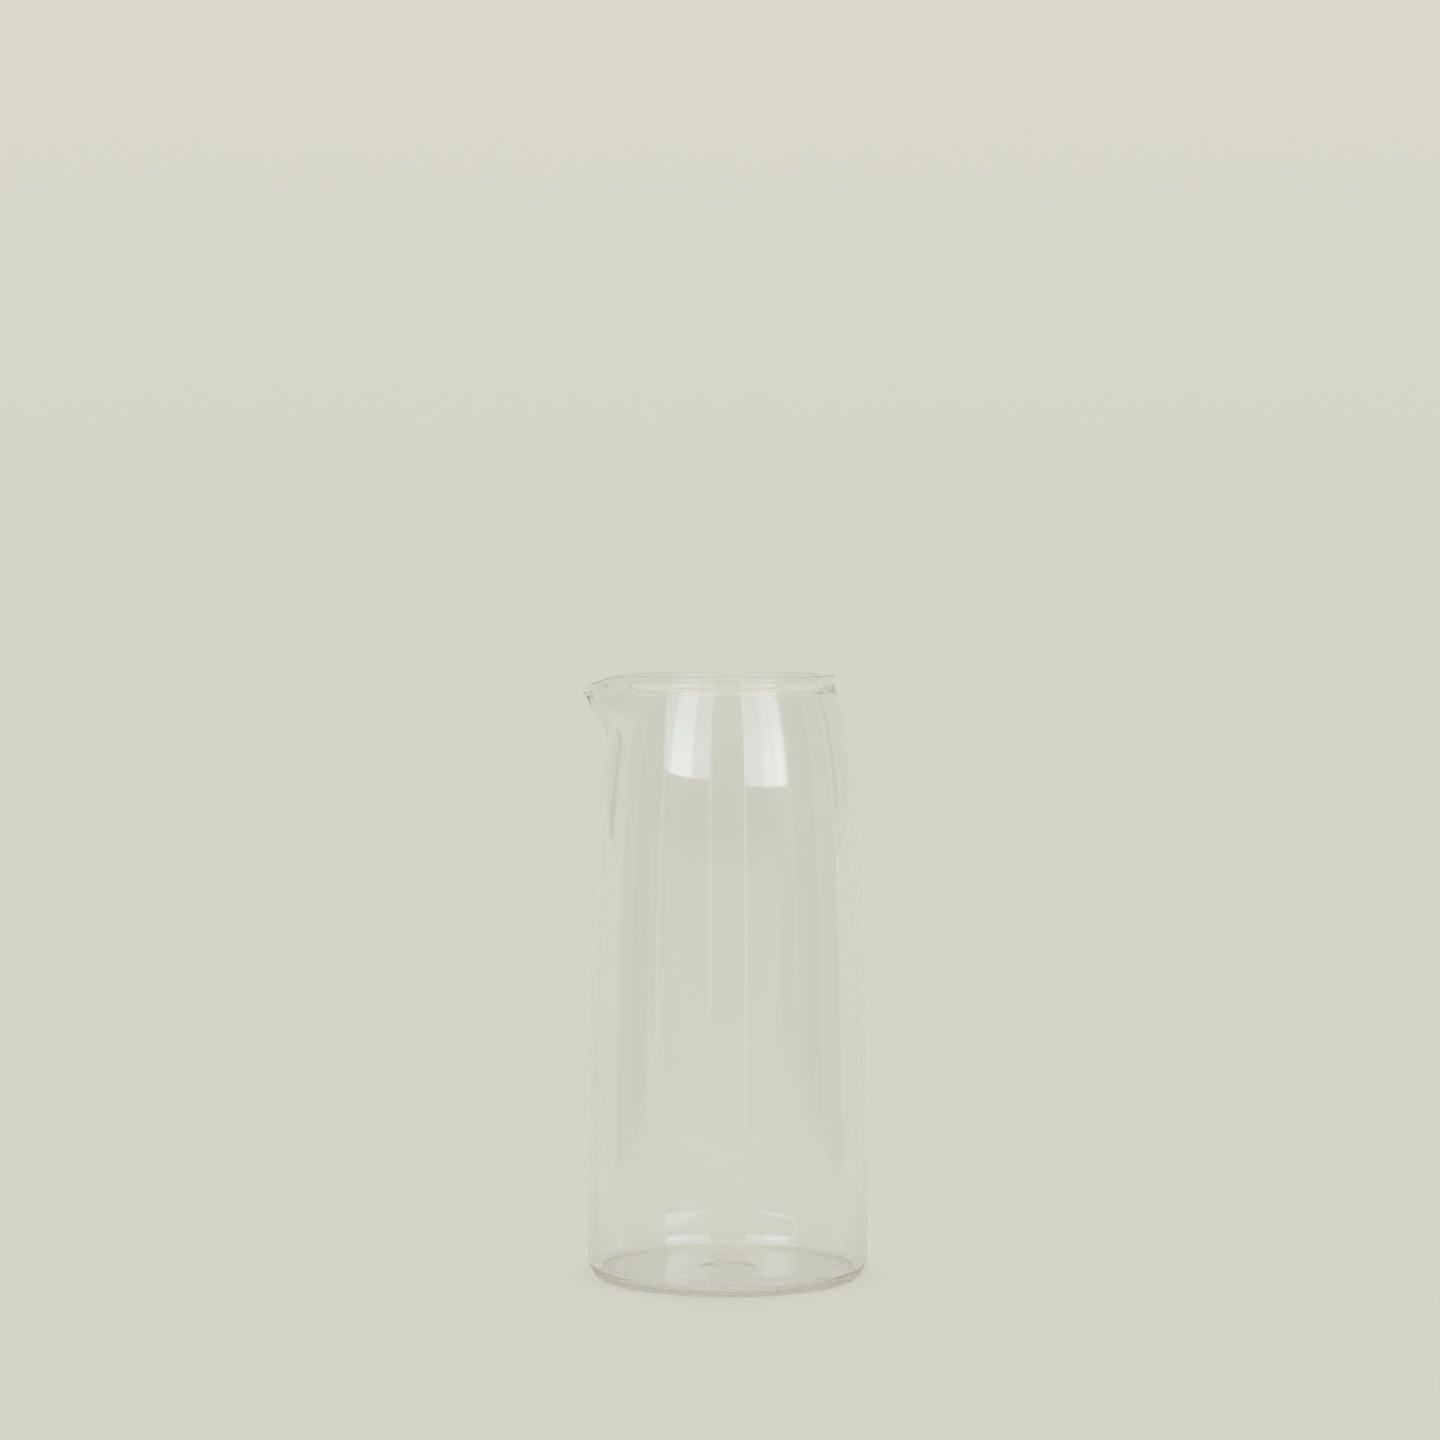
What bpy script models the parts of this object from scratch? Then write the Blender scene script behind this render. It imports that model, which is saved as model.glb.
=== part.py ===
"""A tall clear-glass pouring beaker: flat base, gently tapering body, drawn-in shoulder,
fire-polished rim and a lip pulled out to one side for pouring.

The real vessel is one continuous piece of glass. It is divided here along the lines
where the glassworker forms it, and a hairline seam separates each section from the next.

Frame: +Z up, the origin on the vessel's axis at the underside of the base, the lip
pulled out towards -X. All lengths are in metres.
"""

import math

import bmesh
import bpy
from mathutils import Matrix, Vector

# Driving sizes of the vessel
BODY_DIAMETER = 0.0850
MOUTH_DIAMETER = 0.0640
HEIGHT = 0.1825
WALL = 0.0016
SEAM = 0.0003

# Base: a flat plate with a shallow round dimple in the middle of its upper face
BASE_THICKNESS = 0.0017
DIMPLE_RADIUS = 0.0082
DIMPLE_DEPTH = 0.0004
DIMPLE_EDGE = 0.0009

# Heel: the rounded corner between base and wall, taller than it is wide
HEEL_INSET = 0.0030
HEEL_RISE = 0.0065
FLOOR_FILLET = 0.0031
HEEL_UPSTAND = 0.0033

# Side: upright above the heel, drawn in more and more, slanted at the rim.
# The handles are shares of the side's height that keep to the direction at each end.
BODY_TOP = 0.0750
RIM_TILT = math.radians(21.5)
LOWER_HANDLE = 0.58
UPPER_HANDLE = 0.125

# Rim: a round bead, fatter than the wall and standing a little proud of it outside
BEAD_SWELL = 0.0005
BEAD_FLARE = 0.0003

# Pouring lip
LIP_REACH = 0.0113
LIP_DEPTH = 0.0185
LIP_DROOP = 0.0034
LIP_HALF_ANGLE = math.radians(42.0)
LIP_SHARPNESS = 1.5
LIP_BEND = 1.0
LIP_THINNING = 0.2

# How finely curves are divided
TURN_STEPS = 96
LIP_STEPS = 28
ARC_STEPS = 6
DIMPLE_STEPS = 4
BODY_STEPS = 3
SHOULDER_STEPS = 7
THROAT_STEPS = 5
BEAD_STEPS = 9
SMOOTH_BELOW = math.radians(40.0)
SAME_POINT = 1e-6

# Places that follow from the sizes above
BODY_RADIUS = BODY_DIAMETER / 2
MOUTH_RADIUS = MOUTH_DIAMETER / 2
FLOOR_RADIUS = BODY_RADIUS - WALL - FLOOR_FILLET
HEEL_TOP = max(HEEL_RISE, BASE_THICKNESS + FLOOR_FILLET) + HEEL_UPSTAND
BEAD_RADIUS = WALL / 2 + BEAD_SWELL
BEAD_SEAT = math.sqrt(BEAD_RADIUS**2 - (WALL / 2) ** 2)
BEAD_MIDDLE = MOUTH_RADIUS - WALL / 2 + BEAD_FLARE
BEAD_BOTTOM = HEIGHT - BEAD_RADIUS - BEAD_SEAT
WALL_TOP = BEAD_BOTTOM - SEAM
LIP_FOOT = WALL_TOP - LIP_DEPTH
LIP_DIRECTION = math.pi

GLASS_COLOUR = (0.93, 0.95, 0.90, 1.0)
GLASS_ROUGHNESS = 0.03
GLASS_IOR = 1.47


def clear_scene():
    """Start from an empty scene."""
    for existing in list(bpy.data.objects):
        bpy.data.objects.remove(existing, do_unlink=True)


def clear_glass(name):
    """Colourless glass with the faint olive cast that its thick edges show."""
    material = bpy.data.materials.new(name)
    material.use_nodes = True
    shader = material.node_tree.nodes["Principled BSDF"]
    shader.inputs["Base Color"].default_value = GLASS_COLOUR
    shader.inputs["Roughness"].default_value = GLASS_ROUGHNESS
    shader.inputs["Metallic"].default_value = 0.0
    shader.inputs["IOR"].default_value = GLASS_IOR
    shader.inputs["Transmission Weight"].default_value = 1.0
    return material


def arc(centre, radius, start, end, steps):
    """Points (distance from the axis, height) along a round stretch of a profile."""
    points = []
    for step in range(steps + 1):
        angle = start + (end - start) * step / steps
        points.append((centre[0] + radius * math.cos(angle), centre[1] + radius * math.sin(angle)))
    return points


def side_curve(share):
    """A point of the outer side and its direction: share 0 at the heel, 1 at the rim."""
    tall = WALL_TOP - HEEL_TOP
    slant = Vector((math.sin(RIM_TILT), -math.cos(RIM_TILT)))
    foot = Vector((BODY_RADIUS, HEEL_TOP))
    top = Vector((MOUTH_RADIUS, WALL_TOP))
    lower = foot + Vector((0.0, tall * LOWER_HANDLE))
    upper = top + slant * tall * UPPER_HANDLE
    rest = 1.0 - share
    place = foot * rest**3 + lower * 3 * rest**2 * share + upper * 3 * rest * share**2 + top * share**3
    run = (lower - foot) * rest**2 + (upper - lower) * 2 * rest * share + (top - upper) * share**2
    return place, run.normalized()


def side_share(height):
    """The share at which the side reaches a height, found by halving."""
    low, high = 0.0, 1.0
    for _ in range(50):
        middle = (low + high) / 2
        if side_curve(middle)[0].y < height:
            low = middle
        else:
            high = middle
    return (low + high) / 2


def wall_profile(bottom, top, steps):
    """Closed section of the wall between two heights, its ends cut level."""
    outer, inner = [], []
    low, high = side_share(bottom), side_share(top)
    for step in range(steps + 1):
        place, run = side_curve(low + (high - low) * step / steps)
        outer.append((place.x, place.y))
        inner.append((place.x - WALL / run.y, place.y))
    return outer + inner[::-1]


def base_profile():
    """Half section of the base plate, open at the axis: a dimple on top, flat below."""
    edge = FLOOR_RADIUS - SEAM
    dimple_floor = BASE_THICKNESS - DIMPLE_DEPTH
    top = [(0.0, dimple_floor)]
    for step in range(DIMPLE_STEPS + 1):
        share = step / DIMPLE_STEPS
        rise = DIMPLE_DEPTH * (1 - math.cos(math.pi * share)) / 2
        top.append((DIMPLE_RADIUS + DIMPLE_EDGE * (share - 0.5), dimple_floor + rise))
    return top + [(edge, BASE_THICKNESS), (edge, 0.0), (0.0, 0.0)]


def heel_profile():
    """Closed section of the heel: rounded outside, filleted inside."""
    outside = []
    for radius, drop in arc((BODY_RADIUS - HEEL_INSET, 0.0), HEEL_INSET, -math.pi / 2, 0.0, ARC_STEPS):
        outside.append((radius, HEEL_RISE * (1 + drop / HEEL_INSET)))
    fillet_centre = (FLOOR_RADIUS, BASE_THICKNESS + FLOOR_FILLET)
    inside = arc(fillet_centre, FLOOR_FILLET, 0.0, -math.pi / 2, ARC_STEPS)
    top = [(BODY_RADIUS, HEEL_TOP), (BODY_RADIUS - WALL, HEEL_TOP)]
    return outside + top + inside + [(FLOOR_RADIUS, 0.0)]


def bead_profile():
    """Closed section of the rim bead: round, and flat where it sits on the wall."""
    seat_angle = math.atan2(-BEAD_SEAT, WALL / 2)
    centre = (BEAD_MIDDLE, HEIGHT - BEAD_RADIUS)
    return arc(centre, BEAD_RADIUS, seat_angle, math.pi - seat_angle, BEAD_STEPS)


def middle_radius(height):
    """Distance from the axis to the middle of the glass at a height, before the pull."""
    if height >= BEAD_BOTTOM - SEAM / 2:
        return BEAD_MIDDLE
    place, run = side_curve(side_share(height))
    return place.x - WALL / run.y / 2


def lip_share(angle):
    """How far a direction takes part in the lip: 1 in its middle, 0 past its sides."""
    aside = abs(math.remainder(angle - LIP_DIRECTION, 2 * math.pi))
    if aside >= LIP_HALF_ANGLE:
        return 0.0
    return ((1 + math.cos(math.pi * aside / LIP_HALF_ANGLE)) / 2) ** LIP_SHARPNESS


def pulled(point):
    """Where a point of the plain turned vessel goes when the lip is pulled out.

    The glass leans out from the lip's foot, droops towards the tip and thins as it stretches.
    """
    rise = min((point.z - LIP_FOOT) / LIP_DEPTH, 1.0)
    share = lip_share(math.atan2(point.y, point.x))
    if rise <= 0.0 or share == 0.0:
        return point
    leaning = (1 + LIP_BEND) * rise**2 - LIP_BEND * rise**3
    spread = share * leaning
    thinned = LIP_THINNING * spread
    radius = math.hypot(point.x, point.y)
    middle = middle_radius(point.z)
    new_radius = middle + (radius - middle) * (1.0 - thinned) + LIP_REACH * spread
    drop = LIP_DROOP * share * spread + max(point.z - BEAD_BOTTOM, 0.0) * thinned
    growth = new_radius / radius
    return Vector((point.x * growth, point.y * growth, point.z - drop))


def finish_section(name, shape):
    """Pull the lip, close the poles, and make a named object of the section."""
    bmesh.ops.remove_doubles(shape, verts=shape.verts, dist=SAME_POINT)
    for vertex in shape.verts:
        vertex.co = pulled(vertex.co)
    bmesh.ops.recalc_face_normals(shape, faces=shape.faces)
    mesh = bpy.data.meshes.new(name)
    shape.to_mesh(mesh)
    shape.free()
    mesh.shade_smooth()
    mesh.set_sharp_from_angle(angle=SMOOTH_BELOW)
    mesh.materials.append(clear_glass(name + "_glass"))
    section = bpy.data.objects.new(name, mesh)
    bpy.context.scene.collection.objects.link(section)
    return section


def profile_wire(shape, profile, closed, start):
    """Draw a profile as a wire in the half plane at an angle about the axis."""
    turn = Matrix.Rotation(start, 3, "Z")
    corners = [shape.verts.new(turn @ Vector((radius, 0.0, height))) for radius, height in profile]
    ends = corners[1:] + (corners[:1] if closed else [])
    edges = [shape.edges.new(pair) for pair in zip(corners, ends)]
    return corners, edges


def turned(name, profile, closed=True):
    """A section that goes all the way round the axis."""
    shape = bmesh.new()
    corners, edges = profile_wire(shape, profile, closed, LIP_DIRECTION)
    bmesh.ops.spin(shape, geom=corners + edges, axis=(0, 0, 1), cent=(0, 0, 0),
                   angle=2 * math.pi, steps=TURN_STEPS, use_merge=True)
    return finish_section(name, shape)


def part_turned(name, profile, start, sweep, steps):
    """A section that goes part of the way round, with a flat face at each end."""
    shape = bmesh.new()
    corners, edges = profile_wire(shape, profile, True, start)
    swept = bmesh.ops.spin(shape, geom=corners + edges, axis=(0, 0, 1), cent=(0, 0, 0),
                           angle=sweep, steps=steps)
    last_edges = [part for part in swept["geom_last"] if isinstance(part, bmesh.types.BMEdge)]
    bmesh.ops.contextual_create(shape, geom=edges)
    bmesh.ops.contextual_create(shape, geom=last_edges)
    return finish_section(name, shape)


def build():
    """Make the seven sections of the vessel, from the base to the rim."""
    clear_scene()
    half_seam = SEAM / MOUTH_RADIUS / 2
    throat_start = LIP_DIRECTION + LIP_HALF_ANGLE + half_seam
    throat_sweep = 2 * math.pi - 2 * (LIP_HALF_ANGLE + half_seam)
    throat_steps = round(TURN_STEPS * throat_sweep / (2 * math.pi))
    lip_start = LIP_DIRECTION - LIP_HALF_ANGLE + half_seam
    lip_sweep = 2 * (LIP_HALF_ANGLE - half_seam)

    body = wall_profile(HEEL_TOP + SEAM, BODY_TOP, BODY_STEPS)
    shoulder = wall_profile(BODY_TOP + SEAM, LIP_FOOT, SHOULDER_STEPS)
    throat = wall_profile(LIP_FOOT + SEAM, WALL_TOP, THROAT_STEPS)

    turned("base_disc", base_profile(), closed=False)
    turned("heel_ring", heel_profile())
    turned("body_wall", body)
    turned("shoulder_wall", shoulder)
    part_turned("throat_wall", throat, throat_start, throat_sweep, throat_steps)
    part_turned("pouring_lip", throat, lip_start, lip_sweep, LIP_STEPS)
    turned("rim_bead", bead_profile())


build()
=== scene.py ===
# %% [markdown]
# # A tall glass pouring beaker
# The real vessel is one skin of clear glass: a flat base, a gently tapering body, a shoulder
# that draws in, a round fire-polished rim and a lip pulled out for pouring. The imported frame
# holds it as seven sections with hairline seams between them. Glass shows every seam, so the
# looks replace the seven sections with one unbroken skin of the same size.

# %% Load the frame
import math

import bmesh
import bpy
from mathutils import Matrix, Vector, noise
from mathutils.geometry import interpolate_bezier


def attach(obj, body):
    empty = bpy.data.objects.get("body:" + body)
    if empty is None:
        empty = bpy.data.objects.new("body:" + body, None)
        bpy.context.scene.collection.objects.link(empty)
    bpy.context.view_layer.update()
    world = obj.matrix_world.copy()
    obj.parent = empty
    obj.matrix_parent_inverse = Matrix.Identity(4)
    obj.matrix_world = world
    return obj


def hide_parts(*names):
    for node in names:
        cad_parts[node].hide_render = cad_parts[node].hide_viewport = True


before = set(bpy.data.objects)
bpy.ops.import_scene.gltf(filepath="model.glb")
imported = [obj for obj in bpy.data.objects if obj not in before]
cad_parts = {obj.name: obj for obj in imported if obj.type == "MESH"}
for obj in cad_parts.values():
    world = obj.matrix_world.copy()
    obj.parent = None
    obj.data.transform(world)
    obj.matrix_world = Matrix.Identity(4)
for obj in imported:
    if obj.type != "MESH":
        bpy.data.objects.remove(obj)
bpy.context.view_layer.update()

sections = sorted(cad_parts)
print("frame sections:", ", ".join(sections))

# %% [markdown]
# ## The side of the vessel
# A glassworker starts from a round tube, keeps its foot upright and draws the upper part in
# over the flame. A stack of cylinders and cones would show a ring at every joint, because
# glass mirrors the room and a mirror shows the smallest kink. One Bezier curve has no kinks:
# two handles say that it leaves the heel upright and meets the rim on a slant.

# %% Draw the outer side
BODY_RADIUS = 0.0425
MOUTH_RADIUS = 0.0320
HEIGHT = 0.1825
WALL = 0.0016
HEEL_TOP = 0.0098
WALL_TOP = 0.1799
RIM_TILT = math.radians(21.5)
LOWER_HANDLE = 0.58
UPPER_HANDLE = 0.125
SIDE_POINTS = 44

tall = WALL_TOP - HEEL_TOP
side_foot = Vector((BODY_RADIUS, HEEL_TOP))
side_top = Vector((MOUTH_RADIUS, WALL_TOP))
slant = Vector((math.sin(RIM_TILT), -math.cos(RIM_TILT)))
side = interpolate_bezier(side_foot, side_foot + Vector((0.0, tall * LOWER_HANDLE)),
                          side_top + slant * tall * UPPER_HANDLE, side_top, SIDE_POINTS)
print("side:", len(side), "points, drawn in by", round((BODY_RADIUS - MOUTH_RADIUS) * 1000, 1), "mm")

# %% [markdown]
# ## The thickness of the wall and the rim bead
# Fire polishing melts the cut edge of the glass, and the melt gathers into a round bead that is
# fatter than the wall. It could be a torus set on top of the wall, but the real one flows out
# of the wall without a crease. So the glass gets a middle line and a half thickness at every
# height, both of which swell smoothly into the bead.

# %% Measure the glass at a height
BEAD_RADIUS = 0.0013
BEAD_MIDDLE = 0.0315
BEAD_HEIGHT = HEIGHT - BEAD_RADIUS
BEAD_BLEND = 0.0042


def smooth_step(share):
    """An even ease from 0 to 1."""
    share = min(max(share, 0.0), 1.0)
    return share * share * (3 - 2 * share)


def glass_at(height):
    """Middle of the glass and half its level thickness at a height above the heel."""
    above = next((n for n, point in enumerate(side) if point.y >= height), len(side) - 1)
    upper, lower = side[max(above, 1)], side[max(above, 1) - 1]
    run = (upper - lower).normalized()
    share = min(max((height - lower.y) / (upper.y - lower.y), 0.0), 1.0)
    half = WALL / run.y / 2
    middle = lower.lerp(upper, share).x - half
    swell = smooth_step((height - BEAD_HEIGHT + BEAD_BLEND) / BEAD_BLEND)
    return middle + (BEAD_MIDDLE - middle) * swell, half + (BEAD_RADIUS - half) * swell


for height in (HEEL_TOP, 0.1, WALL_TOP, BEAD_HEIGHT):
    print("glass at", round(height * 1000, 1), "mm:", [round(size * 1000, 2) for size in glass_at(height)])

# %% [markdown]
# ## The half section
# A turned vessel is fully described by the outline of its glass on one side of the axis. The
# outline starts under the base, goes round the heel, up the outside, over the bead, down the
# inside, round the floor's fillet and back to the axis over a shallow round dimple, the mark of
# the tool that pressed the closed end flat. The heel is taller than it is wide, so a round arc
# is stretched upwards for it.

# %% Draw the half section
BASE_THICKNESS = 0.0017
DIMPLE_RADIUS = 0.0082
DIMPLE_DEPTH = 0.0004
DIMPLE_EDGE = 0.0009
DIMPLE_STEPS = 12
HEEL_INSET = 0.0030
HEEL_RISE = 0.0065
FLOOR_FILLET = 0.0031
FLOOR_RADIUS = BODY_RADIUS - WALL - FLOOR_FILLET


def arc(middle, radius, start, end, steps):
    """Points of a round stretch of the section, angles in degrees."""
    angles = [math.radians(start + (end - start) * step / steps) for step in range(steps + 1)]
    return [(middle[0] + radius * math.cos(angle), middle[1] + radius * math.sin(angle)) for angle in angles]


rises = [point.y for point in side if point.y < BEAD_HEIGHT - BEAD_BLEND]
rises += [BEAD_HEIGHT - BEAD_BLEND * step / 8 for step in range(8, 0, -1)]
outside = [(middle + half, height) for height in rises for middle, half in [glass_at(height)]]
inside = [(middle - half, height) for height in rises for middle, half in [glass_at(height)]]
under = [(BODY_RADIUS * share, 0.0) for share in (0.0, 0.1, 0.3, 0.5, 0.7, 0.85)]
heel = [(radius, HEEL_RISE * (1 + drop / HEEL_INSET))
        for radius, drop in arc((BODY_RADIUS - HEEL_INSET, 0.0), HEEL_INSET, -90, 0, 20)]
bead = arc((BEAD_MIDDLE, BEAD_HEIGHT), BEAD_RADIUS, 0, 180, 20)
fillet = arc((FLOOR_RADIUS, BASE_THICKNESS + FLOOR_FILLET), FLOOR_FILLET, 0, -90, 14)
floor = [(FLOOR_RADIUS * share, BASE_THICKNESS) for share in (0.88, 0.76, 0.64, 0.52, 0.40, 0.30)]
dimple = [(DIMPLE_RADIUS + DIMPLE_EDGE * (0.5 - step / DIMPLE_STEPS),
           BASE_THICKNESS - DIMPLE_DEPTH * smooth_step(step / DIMPLE_STEPS))
          for step in range(DIMPLE_STEPS + 1)]
dimple += [(DIMPLE_RADIUS * share, BASE_THICKNESS - DIMPLE_DEPTH) for share in (0.75, 0.5, 0.25, 0.0)]
half_section = under + heel + outside + bead + inside[::-1] + fillet + floor + dimple
print("half section:", len(half_section), "points")

# %% [markdown]
# ## Turn the vessel
# Spinning the half section about the upright axis is what a lathe does, and it keeps the glass
# the same all round. A full spin needs use_merge so that its last copy joins the first, and
# the points on the axis become single poles once the doubles are merged.

# %% Spin the half section
TURN_STEPS = 240
SAME_POINT = 1e-7

vessel = bmesh.new()
corners = [vessel.verts.new((-radius, 0.0, height)) for radius, height in half_section]
edges = [vessel.edges.new(pair) for pair in zip(corners, corners[1:])]
bmesh.ops.spin(vessel, geom=corners + edges, axis=(0, 0, 1), cent=(0, 0, 0),
               angle=2 * math.pi, steps=TURN_STEPS, use_merge=True)
bmesh.ops.remove_doubles(vessel, verts=vessel.verts, dist=SAME_POINT)
print("turned:", len(vessel.verts), "points,", len(vessel.faces), "faces")

# %% [markdown]
# ## Pull the lip
# The lip is made last: the rim is softened at one place and drawn out and down with a rod.
# Modelling it as a separate spout would leave a seam, so the turned points are moved instead.
# A point moves most at the rim in the middle of the lip and not at all at the lip's foot and
# sides, and the glass thins as it stretches. A small average keeps the bead's underside soft.

# %% Move the points of the lip
LIP_REACH = 0.0113
LIP_DEPTH = 0.0185
LIP_DROOP = 0.0034
LIP_HALF_ANGLE = math.radians(42)
LIP_SHARPNESS = 1.5
LIP_BEND = 1.0
LIP_THINNING = 0.2
LIP_FOOT = WALL_TOP - LIP_DEPTH
SOFTENING = (-0.0010, -0.0005, 0.0, 0.0005, 0.0010)


def lean(height):
    """How far along the pull a height is: 0 at the lip's foot, 1 at the rim."""
    rise = min(max((height - LIP_FOOT) / LIP_DEPTH, 0.0), 1.0)
    return (1 + LIP_BEND) * rise**2 - LIP_BEND * rise**3


def lip_share(place):
    """How far a direction takes part in the lip: 1 in its middle, 0 past its sides."""
    aside = abs(math.atan2(place.y, -place.x))
    if aside >= LIP_HALF_ANGLE:
        return 0.0
    return ((1 + math.cos(math.pi * aside / LIP_HALF_ANGLE)) / 2) ** LIP_SHARPNESS


def pull(place):
    """Where a point of the turned vessel goes when the lip is pulled."""
    share = lip_share(place)
    spread = share * sum(lean(place.z + shift) for shift in SOFTENING) / len(SOFTENING)
    if spread == 0.0:
        return place
    thinned = LIP_THINNING * spread
    radius = math.hypot(place.x, place.y)
    middle = glass_at(min(place.z, BEAD_HEIGHT))[0]
    growth = (middle + (radius - middle) * (1 - thinned) + LIP_REACH * spread) / radius
    drop = LIP_DROOP * share * spread + max(place.z - BEAD_HEIGHT + BEAD_RADIUS, 0.0) * thinned
    return Vector((place.x * growth, place.y * growth, place.z - drop))


for point in vessel.verts:
    point.co = pull(point.co)
print("lip tip at", round(min(point.co.x for point in vessel.verts) * 1000, 1), "mm")

# %% [markdown]
# ## The hand of the maker
# Drawn glass is never a perfect cylinder. Its wall wanders by a few hundredths of a millimetre,
# too little to see in the outline but enough to make reflections waver. A bump texture could
# fake this on the surface, but moving the points also bends what is seen through the glass.
# The wander fades out at the base and the rim, so the foot stays flat.

# %% Let the wall wander
WANDER = 0.00002
WANDER_SCALE = Vector((26.0, 26.0, 9.0))
FOOT_FADE = 0.03
RIM_FADE = 0.01


def wander(place):
    """A small push outwards that changes slowly over the wall."""
    fade = (smooth_step((place.z - HEEL_TOP) / FOOT_FADE)
            * smooth_step((BEAD_HEIGHT - place.z) / RIM_FADE))
    return WANDER * fade * noise.noise(place * WANDER_SCALE)


for point in vessel.verts:
    radius = math.hypot(point.co.x, point.co.y)
    if radius > MOUTH_RADIUS / 2:
        push = wander(point.co) / radius
        point.co += Vector((point.co.x * push, point.co.y * push, 0.0))
print("wall wanders by up to", WANDER * 1000, "mm")

# %% [markdown]
# ## Make the piece
# Faces must point out of the glass, because light bends one way going in and the other way
# coming out. The mesh then becomes an object at the origin, rides on the vessel's only body
# and stands for all seven sections of the frame.

# %% Finish the glass skin
bmesh.ops.recalc_face_normals(vessel, faces=vessel.faces)
glass_mesh = bpy.data.meshes.new("beaker_glass")
vessel.to_mesh(glass_mesh)
volume = vessel.calc_volume()
open_edges = sum(not edge.is_manifold for edge in vessel.edges)
vessel.free()
glass_mesh.shade_smooth()
beaker = bpy.data.objects.new("beaker_glass", glass_mesh)
bpy.context.scene.collection.objects.link(beaker)
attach(beaker, "root")
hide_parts(*sections)
print("glass:", round(volume * 1e6, 1), "ml of it, open edges:", open_edges)

# %% [markdown]
# ## Clear glass
# The glass is colourless face on and olive where the eye looks along it, at the rim, the lip and
# the base. A tinted surface would colour thin and thick parts alike. Absorption inside the
# volume grows with the length of the path, as it does in the real melt.

# %% Mix the glass
GLASS_BEND = 1.47
MELT_COLOUR = (0.64, 0.60, 0.08, 1.0)
MELT_DENSITY = 1.3

clear_glass = bpy.data.materials.new("clear_glass")
clear_glass.use_nodes = True
nodes, links = clear_glass.node_tree.nodes, clear_glass.node_tree.links
shader = nodes["Principled BSDF"]
shader.inputs["Base Color"].default_value = (1.0, 1.0, 1.0, 1.0)
shader.inputs["Metallic"].default_value = 0.0
shader.inputs["IOR"].default_value = GLASS_BEND
shader.inputs["Transmission Weight"].default_value = 1.0

melt = nodes.new("ShaderNodeVolumeAbsorption")
melt.inputs["Color"].default_value = MELT_COLOUR
melt.inputs["Density"].default_value = MELT_DENSITY
links.new(melt.outputs["Volume"], nodes["Material Output"].inputs["Volume"])
print("melt absorbs per metre:", [round(MELT_DENSITY * (1 - part), 2) for part in MELT_COLOUR[:3]])

# %% [markdown]
# ## A faint film and a scuffed underside
# Washed glass keeps a faint film in patches, and the underside is scuffed from standing on
# tables. The scuffs matter more than they seem to: a polished base would trap light like a
# glass fibre and turn dark at its edge, while a scuffed one lets the light out. A flat roughness
# would blur the whole vessel, so the film follows a noise and the scuffs only the lowest glass.

# %% Film the glass and scuff the underside
FILM_ROUGHNESS = 0.02
FILM_SCALE = 38.0
FILM_DETAIL = 5.0
FILM_RANGE = (0.35, 0.75)
SCUFF_ROUGHNESS = 0.36
SCUFF_RISE = 0.0008

on_glass = nodes.new("ShaderNodeTexCoord")
film = nodes.new("ShaderNodeTexNoise")
film.inputs["Scale"].default_value = FILM_SCALE
film.inputs["Detail"].default_value = FILM_DETAIL
links.new(on_glass.outputs["Object"], film.inputs["Vector"])
film_gloss = nodes.new("ShaderNodeMapRange")
film_gloss.inputs["From Min"].default_value = FILM_RANGE[0]
film_gloss.inputs["From Max"].default_value = FILM_RANGE[1]
film_gloss.inputs["To Max"].default_value = FILM_ROUGHNESS
links.new(film.outputs["Fac"], film_gloss.inputs["Value"])

height_on_glass = nodes.new("ShaderNodeSeparateXYZ")
links.new(on_glass.outputs["Object"], height_on_glass.inputs["Vector"])
scuff = nodes.new("ShaderNodeMapRange")
scuff.inputs["From Min"].default_value = SCUFF_RISE
scuff.inputs["From Max"].default_value = 0.0
scuff.inputs["To Max"].default_value = SCUFF_ROUGHNESS
links.new(height_on_glass.outputs["Z"], scuff.inputs["Value"])
film_and_scuff = nodes.new("ShaderNodeMath")
film_and_scuff.operation = "MAXIMUM"
links.new(film_gloss.outputs["Result"], film_and_scuff.inputs[0])
links.new(scuff.outputs["Result"], film_and_scuff.inputs[1])
links.new(film_and_scuff.outputs["Value"], shader.inputs["Roughness"])
print("roughness: film up to", FILM_ROUGHNESS, "and underside", SCUFF_ROUGHNESS)

# %% [markdown]
# ## Draw lines
# Tube is drawn out of the furnace, and the drawing leaves faint lines along it. They could be
# cut into the mesh, but they are far finer than its faces. A bump of stretched noise tips the
# surface a little instead, so that reflections have a soft upright grain.

# %% Add the draw lines
LINE_SCALE = (160.0, 160.0, 5.0)
LINE_DETAIL = 2.0
LINE_STRENGTH = 0.08
LINE_DEPTH = 0.00002

along_tube = nodes.new("ShaderNodeMapping")
along_tube.inputs["Scale"].default_value = LINE_SCALE
links.new(on_glass.outputs["Object"], along_tube.inputs["Vector"])
draw_lines = nodes.new("ShaderNodeTexNoise")
draw_lines.inputs["Scale"].default_value = 1.0
draw_lines.inputs["Detail"].default_value = LINE_DETAIL
links.new(along_tube.outputs["Vector"], draw_lines.inputs["Vector"])
line_slope = nodes.new("ShaderNodeBump")
line_slope.inputs["Strength"].default_value = LINE_STRENGTH
line_slope.inputs["Distance"].default_value = LINE_DEPTH
links.new(draw_lines.outputs["Fac"], line_slope.inputs["Height"])
links.new(line_slope.outputs["Normal"], shader.inputs["Normal"])
glass_mesh.materials.append(clear_glass)
print("glass material:", len(nodes), "nodes")

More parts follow.
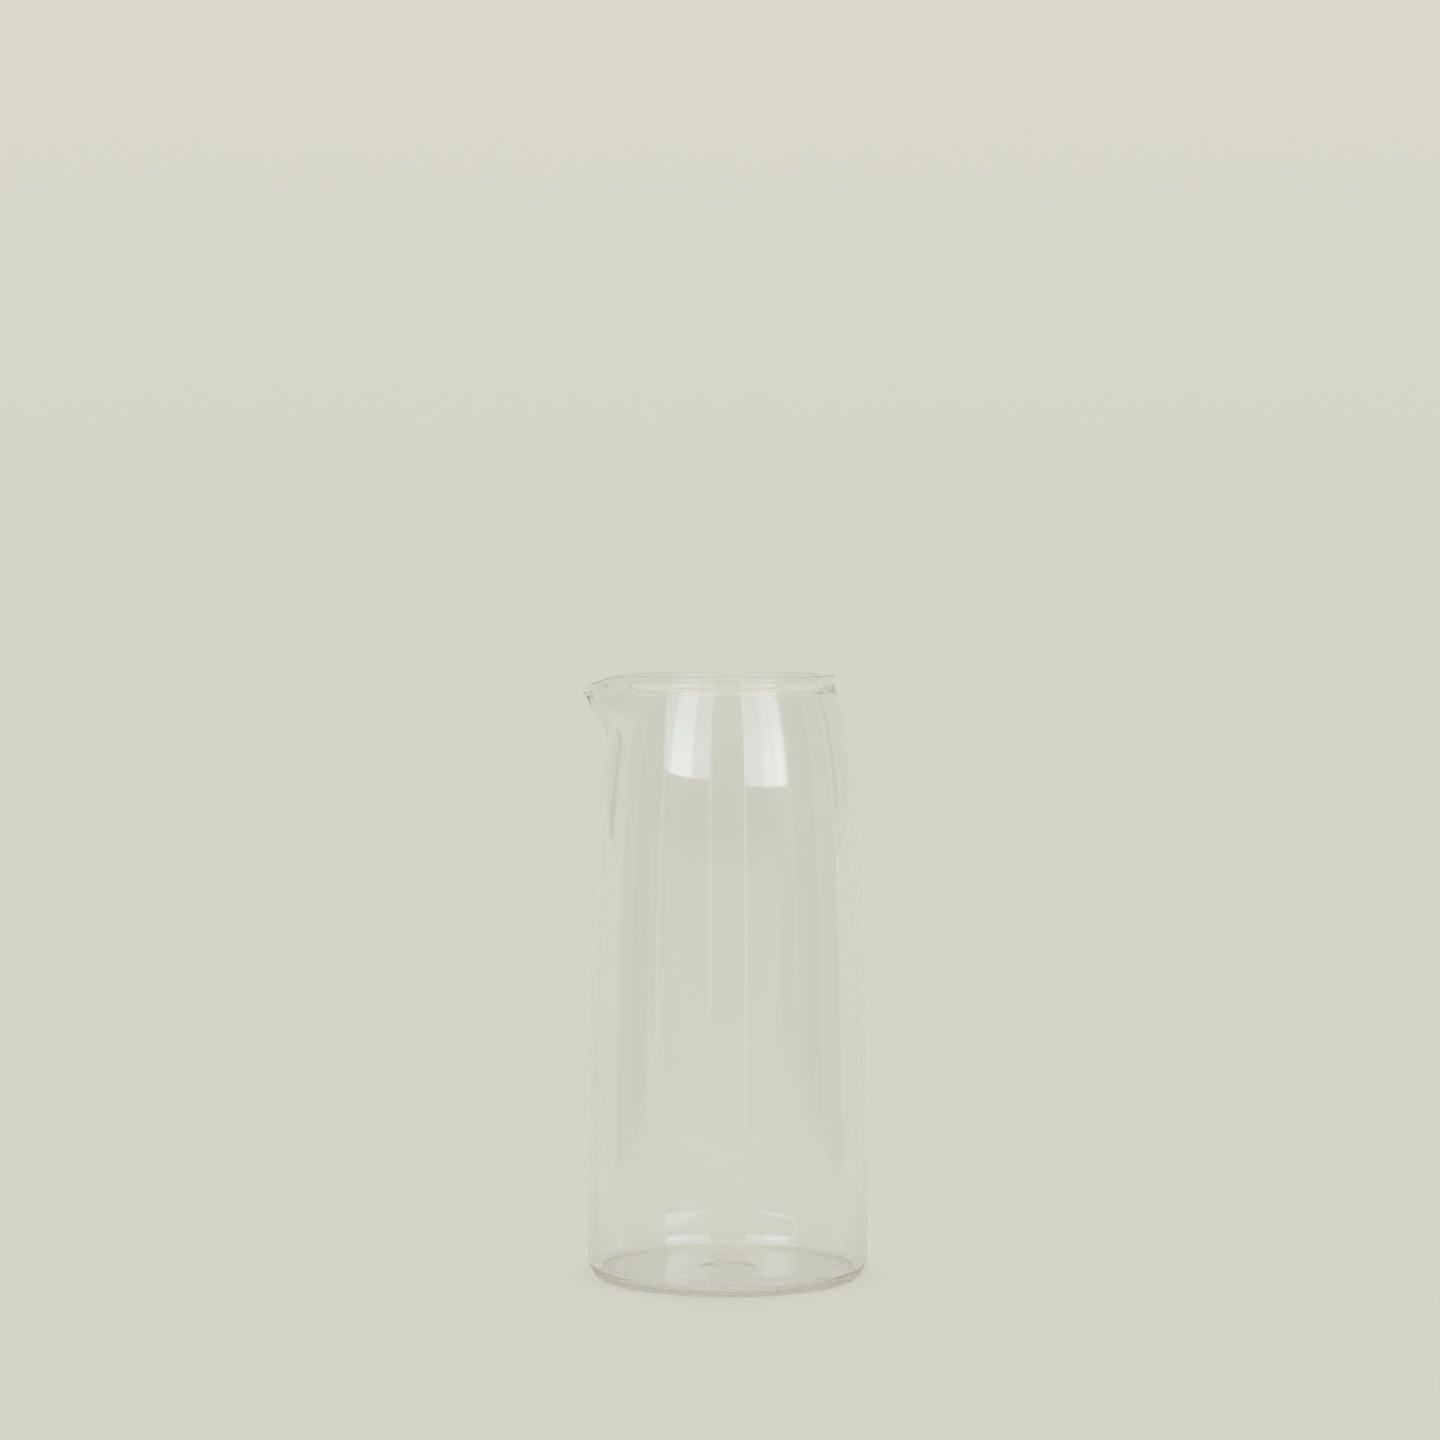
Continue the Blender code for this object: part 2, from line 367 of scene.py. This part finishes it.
# %% [markdown]
# ## The camera
# The vessel is seen from a little above its rim, from more than a metre away through a long
# lens, so its sides stay nearly parallel and the rim is a flat ellipse.

# %% Place the camera
SENSOR_WIDTH = 36.0
LENS = 94.77
CAMERA_PLACE = (-0.00228, -1.15, 0.2118)
CAMERA_DIP = 2.1482

camera = bpy.data.objects.new("camera", bpy.data.cameras.new("camera"))
camera.data.sensor_width = SENSOR_WIDTH
camera.data.lens = LENS
camera.location = CAMERA_PLACE
camera.rotation_euler = (math.radians(90 - CAMERA_DIP), 0.0, 0.0)
bpy.context.scene.collection.objects.link(camera)
bpy.context.scene.camera = camera
print("camera at", [round(part, 3) for part in camera.location])

# %% [markdown]
# ## The room
# Clear glass has hardly any look of its own: it shows what is behind it and mirrors what is in
# front. So the room matters as much as the glass. It could be built from walls and lamps, but
# then every other view would see them. The world's shader paints the room by direction
# instead: azimuth from the camera's side, and elevation.

# %% Find the direction in the world
world = bpy.data.worlds.new("studio")
world.use_nodes = True
bpy.context.scene.world = world
nodes, links = world.node_tree.nodes, world.node_tree.links


def value_of(socket, value):
    """Give a socket a number or link it to another node's output."""
    if isinstance(value, (int, float)):
        socket.default_value = value
    else:
        links.new(value, socket)


def maths(operation, first, second=0.0):
    """One sum in the shader."""
    node = nodes.new("ShaderNodeMath")
    node.operation = operation
    value_of(node.inputs[0], first)
    value_of(node.inputs[1], second)
    return node.outputs["Value"]


heading = nodes.new("ShaderNodeSeparateXYZ")
links.new(nodes.new("ShaderNodeTexCoord").outputs["Generated"], heading.inputs["Vector"])
across, away, up = (heading.outputs[name] for name in "XYZ")
azimuth = maths("DEGREES", maths("ARCTAN2", across, maths("MULTIPLY", away, -1.0)))
elevation = maths("DEGREES", maths("ARCSINE", up))
print("room directions: azimuth 0 is the camera's side, 90 is +X")

# %% [markdown]
# ## Walls and ceiling
# A dim wall stands in front, a pale backdrop behind and a pale ceiling with two lamps above.
# The space over the backdrop is dim too, and the round rim bends the look up to it, which
# draws thin dark lines along the bead. Each panel is laid over the last one with soft edges.

# %% Paint the room
PALE = (0.667, 0.659, 0.583)
CEILING_LAMP = 1.6
UPPER_BACK = 0.22
BACK_LAMP = 2.0
SIDE_SHARE = 0.84
REAR_SHARE = 0.96


def edge(value, low, high):
    """A soft step from 0 to 1 between two angles."""
    node = nodes.new("ShaderNodeMapRange")
    node.interpolation_type = "SMOOTHSTEP"
    value_of(node.inputs["Value"], value)
    value_of(node.inputs["From Min"], low)
    value_of(node.inputs["From Max"], high)
    return node.outputs["Result"]


def between(angle, low, high, soft):
    """1 where an angle lies between two others, 0 outside, with soft ends; in degrees."""
    return maths("MULTIPLY", edge(angle, low - soft, low + soft), edge(angle, high + soft, high - soft))


def inside_panel(left, right, bottom, top, soft):
    """1 inside a panel of the room, 0 outside, with soft edges."""
    return maths("MULTIPLY", between(azimuth, left, right, soft), between(elevation, bottom, top, soft))


def mixed(share, below, above):
    """One colour over another."""
    node = nodes.new("ShaderNodeMix")
    node.data_type = "RGBA"
    value_of(node.inputs["Factor"], share)
    for socket, colour in ((node.inputs["A"], below), (node.inputs["B"], above)):
        if isinstance(colour, tuple):
            socket.default_value = (*colour, 1.0)
        else:
            links.new(colour, socket)
    return node.outputs["Result"]


def grey(level):
    """A neutral brightness with the faint warmth of the room."""
    return (level, level * 0.985, level * 0.93)


bearing = maths("ABSOLUTE", azimuth)
room = mixed(edge(elevation, 2.0, 5.0), grey(0.46), grey(0.17))
room = mixed(edge(elevation, -7.0, -12.0), room, grey(0.33))
room = mixed(edge(elevation, 8.0, 12.0), room, grey(0.28))
room = mixed(inside_panel(46.0, 62.0, -5.0, 8.0, 1.5), room, grey(0.12))
room = mixed(edge(bearing, 100.0, 112.0), room, tuple(part * SIDE_SHARE for part in PALE))
room = mixed(edge(bearing, 136.0, 146.0), room, tuple(part * REAR_SHARE for part in PALE))
room = mixed(edge(bearing, 165.0, 176.0), room, PALE)
above_backdrop = edge(elevation, 16.0, 30.0)
room = mixed(maths("MULTIPLY", edge(bearing, 112.0, 130.0), above_backdrop), room, grey(UPPER_BACK))
room = mixed(edge(elevation, 50.0, 64.0), room, grey(0.55))
room = mixed(inside_panel(-40.0, 40.0, 62.0, 82.0, 2.0), room, grey(CEILING_LAMP))
high_behind = maths("MULTIPLY", edge(bearing, 120.0, 135.0), edge(elevation, 58.0, 66.0))
room = mixed(high_behind, room, grey(BACK_LAMP))
print("room: wall, backdrop, the dim space above it, ceiling and two lamps")

# %% [markdown]
# ## Windows
# Two tall windows to the left and right of the camera make the bright upright patches on the
# shoulder. Each has panes of different brightness, and their sills, which tip a little, end them.
# Pale upright bars under the windows draw thin light lines down the body, and a dark gap on
# either side marks the turn of the wall.

# %% Hang the windows
WINDOW_SILL = 9.9
WINDOW_HEAD = 46.0
LEFT_SILL = (-61.5, -0.017)
RIGHT_SILL = (15.5, 0.035)
SIDE_SLANT = 0.57
BAR_HALF = 0.9
BAR_FOOT = -30.0
BAR_TOP = 10.5
GAP_LEVEL = 0.06


def daylight(level):
    """The cooler light of the sky, brightest low in the window."""
    high = (level * 0.72, level * 0.81, level * 0.97)
    return mixed(edge(elevation, 11.0, 24.0), tuple(part * 1.4 for part in high), high)


def window_height(sill):
    """1 between a window's sill and its head; the sill tips from the bearing where it is level."""
    level_at, tip = sill
    tipped = maths("ADD", elevation, maths("MULTIPLY", maths("SUBTRACT", azimuth, level_at), tip))
    return between(tipped, WINDOW_SILL, WINDOW_HEAD, 0.3)


above_sill = maths("SUBTRACT", elevation, WINDOW_SILL)
slanted = maths("ADD", azimuth, maths("MULTIPLY", above_sill, SIDE_SLANT))
for turn, sill, left, right, soft, level in (
    (slanted, LEFT_SILL, -62.5, -50.0, 0.5, 1.4),
    (azimuth, LEFT_SILL, -61.5, -16.2, 0.3, 1.45),
    (azimuth, LEFT_SILL, -56.0, -34.0, 1.5, 2.6),
    (azimuth, RIGHT_SILL, 15.5, 57.0, 0.3, 1.6),
    (azimuth, RIGHT_SILL, 34.0, 57.0, 3.0, 2.3),
    (azimuth, RIGHT_SILL, 47.0, 54.0, 1.0, 2.6),
):
    pane = maths("MULTIPLY", between(turn, left, right, soft), window_height(sill))
    room = mixed(pane, room, daylight(level))
for bar, level in ((-61.5, 1.2), (-16.2, 0.62), (15.7, 0.95)):
    room = mixed(inside_panel(bar - BAR_HALF, bar + BAR_HALF, BAR_FOOT, BAR_TOP, 0.5), room, grey(level))
for bar, width, bottom in ((-127.0, 2.2, -3.0), (118.0, 2.2, 2.0)):
    room = mixed(inside_panel(bar - width, bar + width, bottom, 60.0, 0.8), room, grey(GAP_LEVEL))
print("room: two windows, their upright bars and two dark gaps")

# %% [markdown]
# ## What each look sees
# A direct look, also one through the glass, meets the plain backdrop, so every view keeps the
# same background. Light that a surface has turned back meets the room. The floor is lit by an
# even dome, because windows would throw bright patches on it.

# %% Show the backdrop to a direct look
SKY = (0.704, 0.696, 0.605)
DOME = (0.93, 0.93, 0.90)

seen = nodes.new("ShaderNodeLightPath")
backdrop = mixed(edge(elevation, -2.0, 12.0), PALE, SKY)
backdrop = mixed(above_backdrop, backdrop, grey(UPPER_BACK))
mirrored = maths("MINIMUM", seen.outputs["Glossy Depth"], 1.0)
in_glass = maths("MAXIMUM", seen.outputs["Is Transmission Ray"], seen.outputs["Is Glossy Ray"])
from_floor = maths("MINIMUM", seen.outputs["Diffuse Depth"], 1.0)
looking = maths("MAXIMUM", seen.outputs["Is Camera Ray"], maths("SUBTRACT", in_glass, from_floor))
background = nodes["Background"]
links.new(mixed(looking, DOME, mixed(mirrored, backdrop, room)), background.inputs["Color"])
background.inputs["Strength"].default_value = 1.0
print("world:", len(nodes), "nodes")

# %% [markdown]
# ## The floor
# The vessel stands on a pale table. A direct look sees the table go on for ever, which keeps
# the background plain. In mirrors of the glass the table ends in front, at its real edge, where
# the dimmer room below it shows. The floor lies a hair under the glass, because two surfaces
# in exactly the same place would flicker.

# %% Lay the floor
FLOOR_COLOUR = (0.72, 0.71, 0.65)
TABLE_EDGE = -0.41
EDGE_SOFTNESS = 0.06
TABLE_RADIUS = 40.0
TABLE_DROP = 0.0003

floor_shape = bmesh.new()
bmesh.ops.create_circle(floor_shape, cap_ends=True, segments=64, radius=TABLE_RADIUS)
bmesh.ops.translate(floor_shape, verts=floor_shape.verts, vec=(0.0, 0.0, -TABLE_DROP))
floor_mesh = bpy.data.meshes.new("studio_floor")
floor_shape.to_mesh(floor_mesh)
floor_shape.free()
studio_floor = bpy.data.objects.new("studio_floor", floor_mesh)
bpy.context.scene.collection.objects.link(studio_floor)

pale_table = bpy.data.materials.new("pale_table")
pale_table.use_nodes = True
nodes, links = pale_table.node_tree.nodes, pale_table.node_tree.links
nodes.remove(nodes["Principled BSDF"])
matt = nodes.new("ShaderNodeBsdfDiffuse")
gone = nodes.new("ShaderNodeBsdfTransparent")
table_place = nodes.new("ShaderNodeSeparateXYZ")
links.new(nodes.new("ShaderNodeTexCoord").outputs["Object"], table_place.inputs["Vector"])
matt.inputs["Color"].default_value = (*FLOOR_COLOUR, 1.0)
past_edge = edge(table_place.outputs["Y"], TABLE_EDGE + EDGE_SOFTNESS, TABLE_EDGE - EDGE_SOFTNESS)
in_mirror = maths("MINIMUM", nodes.new("ShaderNodeLightPath").outputs["Glossy Depth"], 1.0)
table_or_room = nodes.new("ShaderNodeMixShader")
links.new(maths("MULTIPLY", past_edge, in_mirror), table_or_room.inputs["Fac"])
links.new(matt.outputs["BSDF"], table_or_room.inputs[1])
links.new(gone.outputs["BSDF"], table_or_room.inputs[2])
links.new(table_or_room.outputs["Shader"], nodes["Material Output"].inputs["Surface"])
floor_mesh.materials.append(pale_table)
print("floor: pale table, edge in mirrors at", TABLE_EDGE, "m")

# %% [markdown]
# ## Dark cards
# Clear glass on a pale ground would lose its shape. Photographers stand a dark card on either
# side, just out of the picture, and the glass mirrors them as soft dark bands that round its
# body. They show only in mirrors, so no view of the vessel is blocked by a card.

# %% Stand the cards at the sides
CARD_LEVEL = 0.30
CARD_HEIGHT = 0.6

dark_card = bpy.data.materials.new("dark_card")
dark_card.use_nodes = True
nodes, links = dark_card.node_tree.nodes, dark_card.node_tree.links
nodes.remove(nodes["Principled BSDF"])
card_face = nodes.new("ShaderNodeEmission")
card_face.inputs["Color"].default_value = (*grey(CARD_LEVEL), 1.0)
card_gone = nodes.new("ShaderNodeBsdfTransparent")
in_mirror = maths("MINIMUM", nodes.new("ShaderNodeLightPath").outputs["Glossy Depth"], 1.0)
card_or_nothing = nodes.new("ShaderNodeMixShader")
links.new(in_mirror, card_or_nothing.inputs["Fac"])
links.new(card_gone.outputs["BSDF"], card_or_nothing.inputs[1])
links.new(card_face.outputs["Emission"], card_or_nothing.inputs[2])
links.new(card_or_nothing.outputs["Shader"], nodes["Material Output"].inputs["Surface"])

for name, front, back in (
    ("left_card", (-0.46, -0.18, 0.0), (-0.262, 0.035, 0.0)),
    ("right_card", (0.62, -0.40, 0.0), (0.255, 0.052, 0.0)),
):
    card_shape = bmesh.new()
    near = card_shape.verts.new(front)
    far = card_shape.verts.new(back)
    foot = card_shape.edges.new((near, far))
    risen = bmesh.ops.extrude_edge_only(card_shape, edges=[foot])["geom"]
    tops = [part for part in risen if isinstance(part, bmesh.types.BMVert)]
    bmesh.ops.translate(card_shape, verts=tops, vec=(0.0, 0.0, CARD_HEIGHT))
    card_mesh = bpy.data.meshes.new(name)
    card_shape.to_mesh(card_mesh)
    card_shape.free()
    card_mesh.materials.append(dark_card)
    card = bpy.data.objects.new(name, card_mesh)
    bpy.context.scene.collection.objects.link(card)
    print(name, "stands from", front[:2], "to", back[:2])

# %% [markdown]
# ## Light inside the glass
# A look along the rim or the base crosses many glass surfaces before it leaves. If the path
# is cut short there, the edge turns black, so the path gets room for more turns.

# %% Allow more turns of light
LIGHT_TURNS = 256
CLEAR_TURNS = 32

cycles = bpy.context.scene.cycles
cycles.max_bounces = LIGHT_TURNS
cycles.glossy_bounces = LIGHT_TURNS
cycles.transmission_bounces = LIGHT_TURNS
cycles.transparent_max_bounces = CLEAR_TURNS
cycles.blur_glossy = 0.0
bpy.context.scene.view_settings.view_transform = "Standard"
print("light may turn", cycles.max_bounces, "times")
